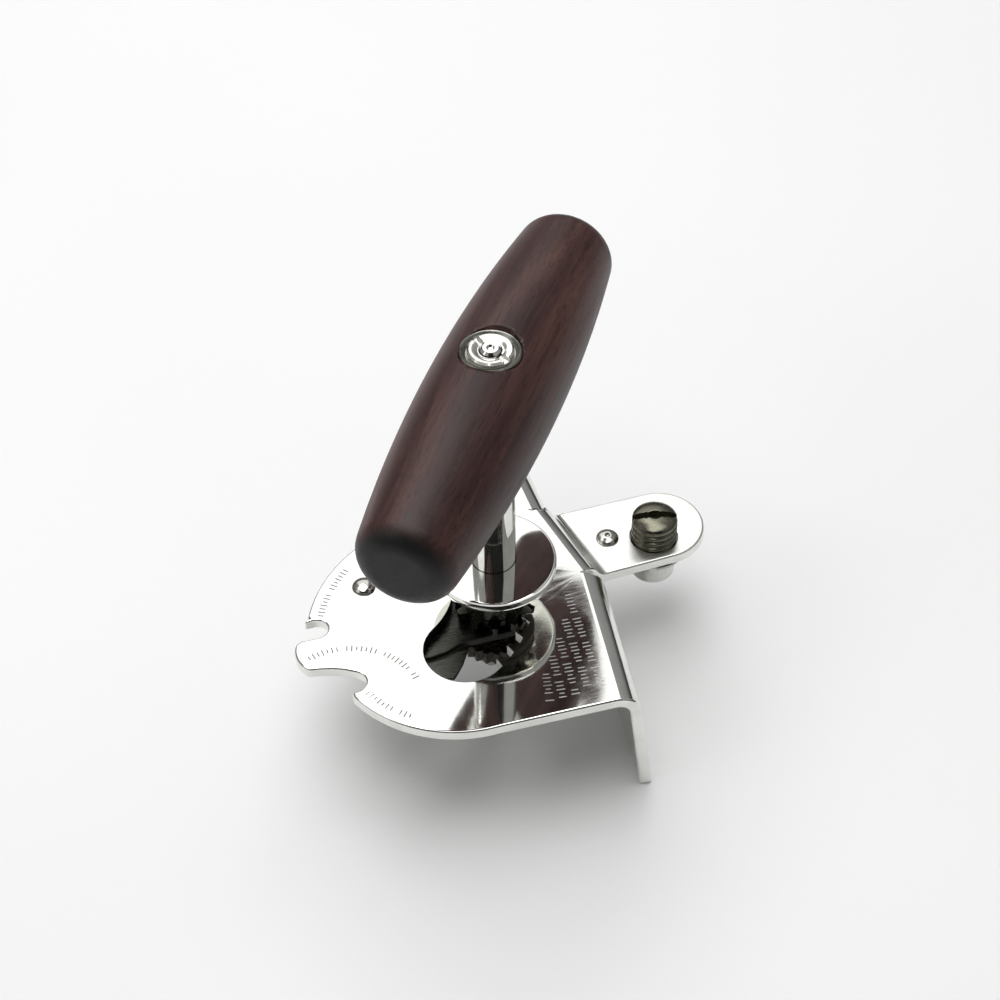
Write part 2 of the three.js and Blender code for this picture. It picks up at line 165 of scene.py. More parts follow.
def metal(name, color, roughness, grain=(900, 900, 900), grain_depth=0.3, waviness=0.0,
          soot=0.12, duller_beyond_x=None):
    """Plated or bare metal: fine grain that can be stretched, soft stains, a slightly uneven face,
    and where wanted a duller finish beyond a place along X."""
    material, tree, shader = principled(name)
    fine = noise(tree, object_coordinates(tree, grain), detail=4)
    plain = object_coordinates(tree)
    stain = noise(tree, plain, scale=140, detail=5, roughness=0.6, distortion=0.4)
    color_out = ramp(tree, stain, [(0.25, scaled_color(color, 1 - soot)), (0.5, color),
                                   (0.8, scaled_color(color, 1 + soot / 2))])
    tree.links.new(color_out, shader.inputs["Base Color"])
    shader.inputs["Metallic"].default_value = 1.0
    smudge = add(tree, "ShaderNodeMath", {"operation": "MULTIPLY"})
    tree.links.new(spread(tree, fine, 0.75, 1.3), smudge.inputs[0])
    tree.links.new(spread(tree, stain, 0.8 * roughness, 1.35 * roughness), smudge.inputs[1])
    level = smudge.outputs["Value"]
    if duller_beyond_x is not None:
        place = add(tree, "ShaderNodeSeparateXYZ", Vector=plain)
        extra = spread(tree, place.outputs["X"], 0.0, 0.27, duller_beyond_x,
                       duller_beyond_x + 3 * MM)
        total = add(tree, "ShaderNodeMath", {"operation": "ADD"})
        tree.links.new(level, total.inputs[0])
        tree.links.new(extra, total.inputs[1])
        level = total.outputs["Value"]
    tree.links.new(level, shader.inputs["Roughness"])
    normal = bump(tree, fine, grain_depth, 0.004 * MM)
    if waviness:
        sway = noise(tree, plain, scale=45, detail=1.5)
        normal = bump(tree, sway, waviness, 0.25 * MM, below=normal)
    tree.links.new(normal, shader.inputs["Normal"])
    return material


def turned_metal(name, color, roughness, axis, groove=0.35):
    """Metal with fine rings left by the lathe around a vertical axis."""
    material, tree, shader = principled(name)
    around = object_coordinates(tree, origin=axis)
    flat = add(tree, "ShaderNodeVectorMath", {"operation": "MULTIPLY"})
    tree.links.new(around, flat.inputs[0])
    flat.inputs[1].default_value = (1, 1, 0)
    radius = add(tree, "ShaderNodeVectorMath", {"operation": "LENGTH"})
    tree.links.new(flat.outputs["Vector"], radius.inputs[0])
    height = add(tree, "ShaderNodeSeparateXYZ", Vector=around)
    along = add(tree, "ShaderNodeCombineXYZ", X=radius.outputs["Value"], Y=0.0,
                Z=height.outputs["Z"])
    rings = noise(tree, along.outputs["Vector"], scale=4200, detail=2)
    stain = noise(tree, around, scale=160, detail=4, roughness=0.6)
    color_out = ramp(tree, stain, [(0.3, scaled_color(color, 0.9)), (0.55, color),
                                   (0.8, scaled_color(color, 1.05))])
    tree.links.new(color_out, shader.inputs["Base Color"])
    shader.inputs["Metallic"].default_value = 1.0
    tree.links.new(spread(tree, stain, 0.8 * roughness, 1.35 * roughness),
                   shader.inputs["Roughness"])
    tree.links.new(bump(tree, rings, groove, 0.003 * MM), shader.inputs["Normal"])
    return material


def dark_wood():
    """Dark stained wood: fibres and pores along the handle; darker end grain, painted down to
    near-black as painted shade.
    """
    material, tree, shader = principled("dark_wood")
    turn = (0, 0, -handle_angle)
    centre = tuple(handle_centre)
    fibres = noise(tree, object_coordinates(tree, (35, 900, 900), turn, centre), detail=4,
                   distortion=0.3)
    bands = noise(tree, object_coordinates(tree, (9, 95, 95), turn, centre), detail=3,
                  distortion=0.8)
    pores = noise(tree, object_coordinates(tree, (170, 3600, 3600), turn, centre), detail=2)
    mixed = add(tree, "ShaderNodeMath", {"operation": "MULTIPLY_ADD"})
    tree.links.new(fibres, mixed.inputs[0])
    mixed.inputs[1].default_value = 0.55
    tree.links.new(spread(tree, bands, 0.0, 0.45), mixed.inputs[2])
    body = ramp(tree, mixed.outputs["Value"], [
        (0.2, (0.020, 0.0075, 0.0070)), (0.45, (0.043, 0.0180, 0.0160)),
        (0.62, (0.068, 0.0300, 0.0250)), (0.85, (0.098, 0.0470, 0.0370))])
    pore_mask = ramp(tree, pores, [(0.34, grey(0.45)), (0.42, grey(1.0))])
    with_pores = add(tree, "ShaderNodeMix", {"data_type": "RGBA", "blend_type": "MULTIPLY"})
    with_pores.inputs[0].default_value = 1.0
    tree.links.new(body, with_pores.inputs[6])
    tree.links.new(pore_mask, with_pores.inputs[7])
    place = object_coordinates(tree, (1, 1, 1), turn, centre)
    along = add(tree, "ShaderNodeSeparateXYZ", Vector=place)
    far = add(tree, "ShaderNodeMath", {"operation": "ABSOLUTE"})
    tree.links.new(along.outputs["X"], far.inputs[0])
    half = handle_length / 2
    end_mask = spread(tree, far.outputs["Value"], 0.0, 1.0, half - 4.0 * MM, half - 1.2 * MM)
    ends = add(tree, "ShaderNodeMix", {"data_type": "RGBA", "blend_type": "MIX"})
    tree.links.new(end_mask, ends.inputs[0])
    tree.links.new(with_pores.outputs[2], ends.inputs[6])
    # Both ends: end grain is darker than the sides, and its near-black colour is painted shade on top
    # of that.
    end_rings = noise(tree, object_coordinates(tree, (1, 260, 130), turn, centre), detail=3)
    end_grain_with_painted_shade = ramp(tree, end_rings, [(0.3, (0.0030, 0.0036, 0.0032)),
                                       (0.7, (0.008, 0.009, 0.0075))])
    tree.links.new(end_grain_with_painted_shade, ends.inputs[7])
    tree.links.new(ends.outputs[2], shader.inputs["Base Color"])
    tree.links.new(spread(tree, fibres, 0.38, 0.50), shader.inputs["Roughness"])
    shader.inputs["Specular IOR Level"].default_value = 0.30
    grain = bump(tree, fibres, 0.35, 0.03 * MM)
    tree.links.new(bump(tree, pores, 0.3, 0.03 * MM, below=grain), shader.inputs["Normal"])
    return material


def fibre_board():
    """Pressed friction fibre, dull and speckled."""
    material, tree, shader = principled("friction_fibre")
    speck = noise(tree, object_coordinates(tree), scale=2600, detail=5)
    color = ramp(tree, speck, [(0.35, (0.018, 0.014, 0.012)), (0.7, (0.07, 0.055, 0.045))])
    tree.links.new(color, shader.inputs["Base Color"])
    tree.links.new(spread(tree, speck, 0.7, 0.9), shader.inputs["Roughness"])
    tree.links.new(bump(tree, speck, 0.6, 0.05 * MM), shader.inputs["Normal"])
    return material


plate_metal = metal("bright_plate", (0.80, 0.80, 0.765), 0.05, (260, 2600, 2600), 0.10, 0.10,
                    duller_beyond_x=arm_start)
# The lever's near-black colour is painted shade: its steel is darkened to stand for the shade under
# the plate.
lever_metal = metal("lever_steel", (0.055, 0.055, 0.050), 0.30, (200, 2600, 900), 0.5)
rivet_metal = metal("rivet_steel", (0.52, 0.51, 0.47), 0.16, (1500, 1500, 1500), 0.4)
cup_metal = metal("cup_steel", (0.30, 0.30, 0.27), 0.30, (1500, 1500, 1500), 0.5)
spring_metal = metal("spring_steel", (0.42, 0.42, 0.40), 0.25, (300, 3000, 3000), 0.5)
# Dark steel for pinion and feed wheel, darkened further as painted shade for the shade under the disc
# and the plate.
gear_metal = metal("gear_steel", (0.075, 0.073, 0.062), 0.24, (1800, 1800, 1800), 0.6, soot=0.3)
screw_metal = metal("dark_screw", (0.15, 0.145, 0.11), 0.25, (1500, 1500, 4000), 0.5, soot=0.3)
# One stamped metal in two copies: the paler one is painted light for the rows along the bend, the
# darker one is painted shade for the curves by the notches.
stamp_painted_light = metal("stamp_painted_light", (0.50, 0.49, 0.48), 0.42, (2500, 2500, 2500), 0.8)
stamp_painted_shade = metal("stamp_painted_shade", (0.16, 0.16, 0.155), 0.5, (2500, 2500, 2500), 0.8)
bronze = metal("bronze", (0.50, 0.36, 0.17), 0.33, (2500, 2500, 2500), 0.8, soot=0.25)
shaft_metal = turned_metal("bright_shaft", (0.80, 0.80, 0.765), 0.05, shaft_axis)
nut_metal = turned_metal("bright_nut", (0.84, 0.83, 0.78), 0.16, shaft_axis, 0.5)
ground_metal = turned_metal("ground_steel", (0.62, 0.62, 0.60), 0.2, cutter_axis, 0.6)
foot_metal = turned_metal("foot_steel", (0.62, 0.62, 0.59), 0.26, Round("stop_foot").axis, 0.5)
wood = dark_wood()
fibre = fibre_board()


# ------------------------------------------------------------------ building pieces

SHARP = math.radians(32)


def sharp_edges(bm):
    """Edges whose faces meet at more than the sharp angle."""
    return [e for e in bm.edges if len(e.link_faces) == 2 and e.calc_face_angle(0) > SHARP]


def round_edges(bm, edges, width, segments):
    if edges and width > 0:
        bmesh.ops.bevel(bm, geom=edges, offset=width, segments=segments, profile=0.5,
                        affect="EDGES", clamp_overlap=False)


def bevel_sharp(bm, width, segments):
    round_edges(bm, sharp_edges(bm), width, segments)


def in_scene(name, data):
    """A new object of the given data, linked to the scene."""
    thing = bpy.data.objects.new(name, data)
    bpy.context.scene.collection.objects.link(thing)
    return thing


def mesh_from(bm, name):
    """A Blender mesh of the built data, which is then let go."""
    mesh = bpy.data.meshes.new(name)
    bm.to_mesh(mesh)
    bm.free()
    return mesh


def to_piece(bm, name, body, slot, material, *nodes):
    """Turns mesh data into a smooth-shaded piece that rides on a body and stands for CAD nodes."""
    bmesh.ops.recalc_face_normals(bm, faces=bm.faces)
    mesh = mesh_from(bm, name)
    mesh.shade_smooth()
    mesh.set_sharp_from_angle(angle=SHARP)
    piece = in_scene(name, mesh)
    piece.data.materials.append(material)
    weighted = piece.modifiers.new("face_weighted_normals", "WEIGHTED_NORMAL")
    weighted.keep_sharp = True
    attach(piece, body)
    if nodes:
        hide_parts(*nodes)
    return piece


def cut_away(piece, bm):
    """Takes a closed tool shape out of a piece."""
    bmesh.ops.recalc_face_normals(bm, faces=bm.faces)
    tool = in_scene("tool", mesh_from(bm, "tool"))
    cut = piece.modifiers.new("cut", "BOOLEAN")
    cut.operation = "DIFFERENCE"
    cut.solver = "EXACT"
    cut.object = tool
    bpy.context.view_layer.update()
    evaluated = piece.evaluated_get(bpy.context.evaluated_depsgraph_get())
    piece.data = bpy.data.meshes.new_from_object(evaluated)
    piece.modifiers.remove(cut)
    bpy.data.objects.remove(tool)


def drill(piece, axis, radius, low, high):
    """Drills an upright round hole through a piece, or into it."""
    bm = bmesh.new()
    revolve(bm, [(0, low), (radius, low), (radius, high), (0, high)], axis, 96)
    cut_away(piece, bm)


def saw_slot(piece, axis, top, angle, length, width, depth):
    """Saws a straight slot into the top of a piece, right across it."""
    bm = bmesh.new()
    bmesh.ops.create_cube(bm, size=1.0)
    size = Matrix.Diagonal((length, width, 2 * depth, 1))
    place = Matrix.Translation((axis.x, axis.y, top)) @ Matrix.Rotation(angle, 4, "Z")
    bmesh.ops.transform(bm, matrix=place @ size, verts=bm.verts)
    cut_away(piece, bm)
    piece.data.set_sharp_from_angle(angle=SHARP)


def frame_mesh(node):
    """The CAD node's own shape, with its flat faces split into well-shaped triangles."""
    bm = bmesh.new()
    bm.from_mesh(frame["nodes"][node].data)
    bmesh.ops.remove_doubles(bm, verts=bm.verts, dist=0.002 * MM)
    bmesh.ops.dissolve_limit(bm, angle_limit=math.radians(0.4), verts=bm.verts, edges=bm.edges)
    bmesh.ops.triangulate(bm, faces=bm.faces, quad_method="BEAUTY", ngon_method="BEAUTY")
    return bm


def refined(node, name, body, slot, material, width, segments=2):
    """The CAD node's own shape with its edges rounded."""
    bm = frame_mesh(node)
    bevel_sharp(bm, width, segments)
    return to_piece(bm, name, body, slot, material, node)


def revolve(bm, profile, axis, segments):
    """Adds a closed profile of (radius, height), or one that starts and ends on the axis."""
    rings = []
    for radius, height in profile:
        if radius < 1e-9:
            rings.append([bm.verts.new((axis.x, axis.y, height))])
            continue
        ring = []
        for i in range(segments):
            a = math.tau * i / segments
            ring.append(bm.verts.new((axis.x + radius * math.cos(a),
                                      axis.y + radius * math.sin(a), height)))
        rings.append(ring)
    closed = len(rings[0]) > 1
    pairs = list(zip(rings, rings[1:] + rings[:1] if closed else rings[1:]))
    for lower, upper in pairs:
        for i in range(segments):
            k = (i + 1) % segments
            corners = [lower[i % len(lower)], lower[k % len(lower)],
                       upper[k % len(upper)], upper[i % len(upper)]]
            unique = list(dict.fromkeys(corners))
            if len(unique) > 2:
                bm.faces.new(unique)


def turned(name, body, slot, material, profile, axis, nodes, width=0.2 * MM, segments=96):
    """A piece turned from a profile, with its sharp edges rounded."""
    bm = bmesh.new()
    revolve(bm, profile, axis, segments)
    bevel_sharp(bm, width, 3)
    return to_piece(bm, name, body, slot, material, *nodes)


def washer(node, body, slot, material, bore, width=0.15 * MM):
    """A plain ring of the CAD node's own outside size."""
    shape = Round(node)
    profile = [(bore, shape.low), (shape.radius, shape.low), (shape.radius, shape.high),
               (bore, shape.high)]
    return turned("round_" + node, body, slot, material, profile, shape.axis, [node], width, 64)


def quarter(radius, height, base, steps, start=0.0):
    """Points of a dome from its rim towards its top."""
    points = []
    for i in range(steps + 1):
        a = start + (math.pi / 2 - start) * i / steps
        points.append((radius * math.cos(a), base + height * math.sin(a)))
    return points


def rivet(node, name, shank, head_low, collar_high, dimple):
    """A domed rivet: head above head_low, shank, and a flattened tail under collar_high."""
    shape = Round(node)
    tail = shape.radius * 0.95
    height = shape.high - head_low
    if dimple:
        dome = quarter(shape.radius, height, head_low, 14)[:-3]
        rim_radius, rim_height = dome[-1]
        crown = [(rim_radius * 0.72, rim_height), (rim_radius * 0.45, rim_height - 0.25 * height),
                 (rim_radius * 0.2, rim_height - 0.4 * height), (0, rim_height - 0.42 * height)]
    else:
        dome = quarter(shape.radius, height, head_low, 14)[:-1]
        crown = [(0, shape.high)]
    profile = [(0, shape.low), (tail, shape.low), (tail, collar_high), (shank, collar_high),
               (shank, head_low), *dome, *crown]
    return turned(name, "frame", "rivet_steel", rivet_metal, profile, shape.axis, [node],
                  0.18 * MM, 64)


def prism(name, body, slot, material, outline, low, high, nodes, width, hole=None, segments=2):
    """An outline of (x, y) raised from low to high, with an optional round hole (centre, radius)."""
    bm = bmesh.new()
    hole_steps = 72
    rims = []
    for height in (low, high):
        outer = [bm.verts.new((x, y, height)) for x, y in outline]
        inner = []
        if hole:
            (cx, cy), radius = hole
            for i in range(hole_steps):
                a = math.tau * i / hole_steps
                place = (cx + radius * math.cos(a), cy + radius * math.sin(a), height)
                inner.append(bm.verts.new(place))
        rims.append((outer, inner))
        edges = []
        for loop in filter(None, (outer, inner)):
            edges += [bm.edges.new((loop[i], loop[(i + 1) % len(loop)])) for i in range(len(loop))]
        bmesh.ops.triangle_fill(bm, use_beauty=True, use_dissolve=False, edges=edges)
    for lower, upper in zip(rims[0], rims[1]):
        for i in range(len(lower)):
            k = (i + 1) % len(lower)
            bm.faces.new((lower[i], lower[k], upper[k], upper[i]))
    bmesh.ops.dissolve_limit(bm, angle_limit=math.radians(0.4), verts=bm.verts, edges=bm.edges)
    bevel_sharp(bm, width, segments)
    return to_piece(bm, name, body, slot, material, *nodes)


def polar(radius, angle, centre):
    return (centre.x + radius * math.cos(angle), centre.y + radius * math.sin(angle))


# ------------------------------------------------------------------ frame

def sheet_metal():
    """The plate, flange and arm: generously rounded outside, crisper round the slot and holes."""
    bm = frame_mesh("frame_plate")
    holes = ((Round("stop_screw").axis.xy, 6.5 * MM), (Round("arm_rivet").axis.xy, 3 * MM),
             (pivot_axis.xy, 3 * MM))
    slot_nearest, slot_farthest = 19 * MM, 42 * MM
    slot_from, slot_to = -80, 10
    slot_right = pivot_axis.x + 43 * MM

    def is_inside(edge):
        """Whether an edge belongs to a hole, or to the slot around the pivot."""
        place = ((edge.verts[0].co + edge.verts[1].co) / 2).xy
        if any((place - centre).length < reach for centre, reach in holes):
            return True
        away = place - pivot_axis.xy
        angle = math.degrees(math.atan2(away.y, away.x))
        in_ring = slot_nearest < away.length < slot_farthest
        return in_ring and slot_from < angle < slot_to and place.x < slot_right

    reliefs = [Vector(design(49.7, -11.6)), Vector(design(45.3, 11.2))]

    def at_relief(edge):
        """Where the flange, the arm and the rear bend meet, the edges stay nearly sharp."""
        reach = 1.6 * MM
        return any((v.co.xy - r).length < reach for v in edge.verts for r in reliefs)

    outer = [e for e in sharp_edges(bm) if not is_inside(e) and not at_relief(e)]
    round_edges(bm, outer, 0.6 * MM, 4)
    inner = [e for e in sharp_edges(bm) if is_inside(e)]
    round_edges(bm, inner, 0.22 * MM, 2)
    to_piece(bm, "plate_with_flange_and_arm", "frame", "bright_plate", plate_metal, "frame_plate")


def frame_pieces():
    sheet_metal()
    rivet("pivot_rivet", "domed_pivot_rivet", 2.0 * MM, plate_top + 0.05 * MM,
          Round("pivot_washer").low - 0.1 * MM, dimple=False)
    rivet("arm_rivet", "dimpled_arm_rivet", 1.8 * MM, arm_top + 0.05 * MM,
          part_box("lock_spring")[0].z - 0.2 * MM, dimple=True)
    washer("pivot_washer", "frame", "rivet_steel", rivet_metal, 2.3 * MM)
    washer("cutter_washer", "frame", "rivet_steel", rivet_metal, 2.2 * MM)
    refined("cutter_nut", "hex_cutter_nut", "frame", "rivet_steel", rivet_metal, 0.12 * MM)
    refined("lock_spring", "thread_lock_spring", "frame", "spring_steel", spring_metal, 0.12 * MM)
    stud = Round("cutter_stud")
    bush = Round("cutter_bush")
    profile = [
        (0, stud.low), (1.7 * MM, stud.low), (2 * MM, stud.low + 0.3 * MM),
        (2 * MM, bush.low - 0.2 * MM), (3 * MM, bush.low - 0.2 * MM), (3 * MM, bush.high + 0.3 * MM),
        (stud.radius, bush.high + 0.3 * MM), (stud.radius, plate_bottom - 0.2 * MM),
        (2 * MM, plate_bottom - 0.2 * MM), (2 * MM, stud.high), (0, stud.high)]
    turned("shouldered_cutter_stud", "frame", "rivet_steel", rivet_metal, profile, stud.axis,
           ["cutter_stud"])


# ------------------------------------------------------------------ moving pieces under the plate

def cutter_pieces():
    wheel = Round("cutter_wheel")
    bore = 4.4 * MM
    profile = [(bore, wheel.low), (wheel.radius - 0.05 * MM, wheel.low),
               (wheel.radius, wheel.low + 0.12 * MM), (5.2 * MM, wheel.high), (bore, wheel.high)]
    turned("bevelled_cutter_wheel", "cutter", "ground_steel", ground_metal, profile, wheel.axis,
           ["cutter_wheel"], 0.04 * MM, 128)
    washer("cutter_bush", "cutter", "bronze", bronze, 3.15 * MM)


def lever_pieces():
    refined("swing_lever", "wide_swing_lever", "swing_lever", "lever_steel", lever_metal,
            0.25 * MM, 3)
    bush = Round("bearing_bush")
    flange_top = bush.low + 0.7 * MM
    body_radius = 5.8 * MM
    profile = [(bearing_hole, bush.low), (bush.radius, bush.low), (bush.radius, flange_top),
               (body_radius, flange_top), (body_radius, bush.high), (bearing_hole, bush.high)]
    turned("flanged_bearing_bush", "swing_lever", "bronze", bronze, profile, bush.axis,
           ["bearing_bush"], 0.12 * MM)


def pinion_outline(centre):
    """Eleven teeth with curved flanks; the first gap lies on the line from the pivot."""
    teeth, module = 11, 1.5 * MM
    root, tip = 7.0 * MM, 9.25 * MM
    pitch = math.tau / teeth
    reach = module * teeth / 2
    points = []
    for i in range(teeth):
        middle = rest_angle + (i + 0.5) * pitch
        flank = [(root, 0.34), (root + 0.25 * MM, 0.285), (reach - 0.5 * MM, 0.245), (reach, 0.205),
                 (reach + 0.5 * MM, 0.155), (tip - 0.12 * MM, 0.10), (tip, 0.075)]
        points += [polar(r, middle - pitch * share, centre) for r, share in flank]
        points += [polar(r, middle + pitch * share, centre) for r, share in reversed(flank)]
    return points


def pinion_pieces():
    low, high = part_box("pinion")
    teeth_top = plate_top - 0.3 * MM
    bore, hub_radius = 5.45 * MM, 6.9 * MM
    prism("pinion_teeth", "pinion", "gear_steel", gear_metal, pinion_outline(shaft_axis), low.z,
          teeth_top, ["pinion"], 0.12 * MM, ((shaft_axis.x, shaft_axis.y), bore))
    hub = [(bore, teeth_top - 0.4 * MM), (hub_radius, teeth_top - 0.4 * MM), (hub_radius, high.z),
           (bore, high.z)]
    turned("pinion_hub", "pinion", "gear_steel", gear_metal, hub, shaft_axis, ["pinion"])


# ------------------------------------------------------------------ drive shaft and handle

def drive_pieces():
    shaft = Round("drive_shaft")
    feed = Round("feed_wheel")
    collar = Round("handle_collar")
    shoulder = collar.high + 0.2 * MM
    profile = [
        (0, shaft.low), (2.5 * MM, shaft.low), (thread_radius, shaft.low + 0.5 * MM),
        (thread_radius, feed.high + 0.1 * MM), (bearing_radius, feed.high + 0.1 * MM),
        (bearing_radius, plate_bottom + 0.1 * MM), (shaft_radius, plate_bottom + 0.1 * MM),
        (shaft_radius, shoulder), (spigot_radius, shoulder),
        (spigot_radius, shaft.high - 3 * MM), (2.3 * MM, shaft.high - 2.6 * MM),
        (2.3 * MM, shaft.high - 0.5 * MM), (1.7 * MM, shaft.high), (0.9 * MM, shaft.high),
        (0.5 * MM, shaft.high - 0.45 * MM), (0, shaft.high - 0.55 * MM)]
    turned("stepped_drive_shaft", "drive", "bright_shaft", shaft_metal, profile, shaft_axis,
           ["drive_shaft"], 0.15 * MM, 128)

    disc = Round("clutch_disc")
    bore = shaft_hole
    profile = [(bore, disc.low), (disc.radius - 0.7 * MM, disc.low),
               (disc.radius - 0.2 * MM, disc.low + 0.15 * MM), (disc.radius, disc.low + 0.6 * MM),
               (disc.radius, disc.high - 0.7 * MM), (disc.radius - 0.2 * MM, disc.high - 0.2 * MM),
               (disc.radius - 0.7 * MM, disc.high), (bore, disc.high)]
    turned("round_edged_disc", "drive", "bright_shaft", shaft_metal, profile, shaft_axis,
           ["clutch_disc"], 0.1 * MM, 160)
    washer("friction_washer", "drive", "friction_fibre", fibre, bore)
    washer("spacer_bush", "drive", "rivet_steel", rivet_metal, bearing_hole)
    washer("feed_washer", "drive", "rivet_steel", rivet_metal, thread_hole)
    refined("feed_nut", "hex_feed_nut", "drive", "rivet_steel", rivet_metal, 0.15 * MM)

    teeth = 24
    tip, root = feed.radius, feed.radius - 0.75 * MM
    outline = []
    for i in range(teeth):
        a = math.tau * i / teeth
        half = math.pi / teeth
        outline += [polar(tip, a - half * 0.12, shaft_axis), polar(tip, a + half * 0.12, shaft_axis),
                    polar(root, a + half * 0.9, shaft_axis), polar(root, a + half * 1.1, shaft_axis)]
    prism("serrated_feed_wheel", "drive", "gear_steel", gear_metal, outline, feed.low, feed.high,
          ["feed_wheel"], 0.1 * MM, ((shaft_axis.x, shaft_axis.y), thread_hole))


def handle_radius(share):
    """The grip's radius at a share of half its length from the middle."""
    return handle_middle_radius - (handle_middle_radius - handle_end_radius) * share * share


def wooden_grip():
    """The turned grip, drilled for the shaft and counterbored for cup and collar."""
    half, round_end = handle_length / 2, handle_end_round
    profile = [(0.0, -half)]
    steps = 10
    for i in range(steps + 1):
        a = math.pi / 2 * i / steps
        along = half - round_end + round_end * math.cos(a)
        profile.append((handle_radius(along / half) - round_end + round_end * math.sin(a), -along))
    rows = 64
    for i in range(1, rows):
        share = (-1 + 2 * i / rows) * (half - round_end) / half
        profile.append((handle_radius(share), share * half))
    profile += [(r, -along) for r, along in reversed(profile[1:steps + 2])]
    profile.append((0.0, half))
    bm = bmesh.new()
    revolve(bm, profile, Vector((0, 0, 0)), 160)
    turn = Matrix.Rotation(handle_angle, 4, "Z") @ Matrix.Rotation(math.pi / 2, 4, "Y")
    height = handle_centre.z
    place = Matrix.Translation((shaft_axis.x, shaft_axis.y, height))
    bmesh.ops.transform(bm, matrix=place @ turn, verts=bm.verts)
    grip = to_piece(bm, "barrel_grip", "drive", "dark_wood", wood, "handle_grip")
    top = height + handle_radius(0)
    bottom = height - handle_radius(0)
    beyond = 5 * MM
    cup_seat, collar_seat = 2.6 * MM, 1.6 * MM
    drill(grip, shaft_axis, spigot_radius + 0.15 * MM, bottom - beyond, top + beyond)
    drill(grip, shaft_axis, 6.9 * MM, top - cup_seat, top + beyond)
    drill(grip, shaft_axis, 7.4 * MM, bottom - beyond, bottom + collar_seat)
    grip.data.set_sharp_from_angle(angle=SHARP)


def handle_fittings():
    collar = Round("handle_collar")
    profile = [(shaft_hole, collar.low), (collar.radius - 0.8 * MM, collar.low),
               (collar.radius, collar.low + 0.8 * MM), (collar.radius, collar.high),
               (shaft_hole, collar.high)]
    turned("handle_collar_ring", "drive", "bright_shaft", shaft_metal, profile, shaft_axis,
           ["handle_collar"], 0.2 * MM)
    cup = Round("handle_cup")
    bore = 4.1 * MM
    profile = [(bore, cup.low), (cup.radius, cup.low), (cup.radius, cup.high - 0.25 * MM),
               (cup.radius - 0.3 * MM, cup.high), (cup.radius - 0.65 * MM, cup.high - 0.15 * MM),
               (5.35 * MM, cup.low + 0.75 * MM), (bore, cup.low + 0.7 * MM)]
    turned("cup_washer", "drive", "rivet_steel", cup_metal, profile, shaft_axis, ["handle_cup"],
           0.1 * MM)
    slotted_nut()


def slotted_nut():
    """A round nut with two short slots across its rim."""
    nut = Round("handle_nut")
    bore, groove = 2.55 * MM, 3.0 * MM
    slot_angle = math.radians(-64)
    slot_width, slot_depth = 1.5 * MM, 0.8 * MM
    bm = bmesh.new()
    profile = [(bore, nut.low), (nut.radius, nut.low), (nut.radius, nut.high - 0.35 * MM),
               (nut.radius - 0.45 * MM, nut.high), (groove + 0.35 * MM, nut.high),
               (groove, nut.high - 0.4 * MM), (bore, nut.high - 0.4 * MM)]
    revolve(bm, profile, shaft_axis, 96)
    bevel_sharp(bm, 0.08 * MM, 2)
    ring = to_piece(bm, "slotted_round_nut", "drive", "bright_nut", nut_metal, "handle_nut")
    saw_slot(ring, shaft_axis, nut.high, slot_angle, 4 * nut.radius, slot_width, slot_depth)


# ------------------------------------------------------------------ stop screw

def helical_screw():
    """The threaded pin with its domed, slotted head, as one dense surface."""
    low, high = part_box("stop_screw")
    axis = (low + high) / 2
    radius = (high.x - low.x) / 2
    root = radius - 0.65 * MM
    pitch = 1.75 * MM
    thread_low = plate_top - 9.3 * MM
    dome = 1.5 * MM
    thread_high = high.z - dome
    around = 96
    bm = bmesh.new()

    def ring(level, size):
        vertices = []
        for i in range(around):
            a = math.tau * i / around
            r = size(a) if callable(size) else size
            vertices.append(bm.verts.new((axis.x + r * math.cos(a), axis.y + r * math.sin(a), level)))
        return vertices

    def thread(level):
        def size(a):
            turn = ((level - thread_low) / pitch - a / math.tau) % 1.0
            ridge = abs(turn - 0.5) * 2
            height = min(1.0, max(0.0, (ridge - 0.18) / 0.5))
            fade = min(1.0, max(0.0, (thread_high - level) / (0.5 * pitch)))
            full = root + (radius - root) * height
            return radius - (radius - full) * fade
        return size

    rings = [ring(low.z, 2.4 * MM), ring(low.z + 0.3 * MM, 2.7 * MM),
             ring(thread_low - 0.05 * MM, 2.7 * MM)]
    rows = 96
    for k in range(rows + 1):
        level = thread_low + (thread_high - thread_low) * k / rows
        rings.append(ring(level, thread(level)))
    for share in (0.25, 0.5, 0.72, 0.88, 0.97):
        rings.append(ring(thread_high + dome * share, radius * math.sqrt(1 - share * share * 0.96)))
    for lower, upper in zip(rings, rings[1:]):
        for i in range(around):
            k = (i + 1) % around
            bm.faces.new((lower[i], lower[k], upper[k], upper[i]))
    bm.faces.new(list(reversed(rings[0])))
    tip = bm.verts.new((axis.x, axis.y, high.z))
    for i in range(around):
        bm.faces.new((rings[-1][i], rings[-1][(i + 1) % around], tip))
    screw = to_piece(bm, "threaded_stop_screw", "stop", "dark_screw", screw_metal, "stop_screw")
    saw_slot(screw, axis, high.z, math.radians(-15), 4 * radius, 1.7 * MM, 1.8 * MM)


def smooth_foot():
    """The light cylinder under the screw, bored to take the screw's end."""
    foot = Round("stop_foot")
    bore_end = plate_top - 12.1 * MM
    profile = [(0, foot.low), (foot.radius - 0.6 * MM, foot.low), (foot.radius, foot.low + 0.6 * MM),
               (foot.radius, foot.high), (3 * MM, foot.high), (3 * MM, bore_end), (0, bore_end)]
    turned("smooth_stop_foot", "stop", "foot_steel", foot_metal, profile, foot.axis, ["stop_foot"],
           0.15 * MM)


# ------------------------------------------------------------------ stamped marks

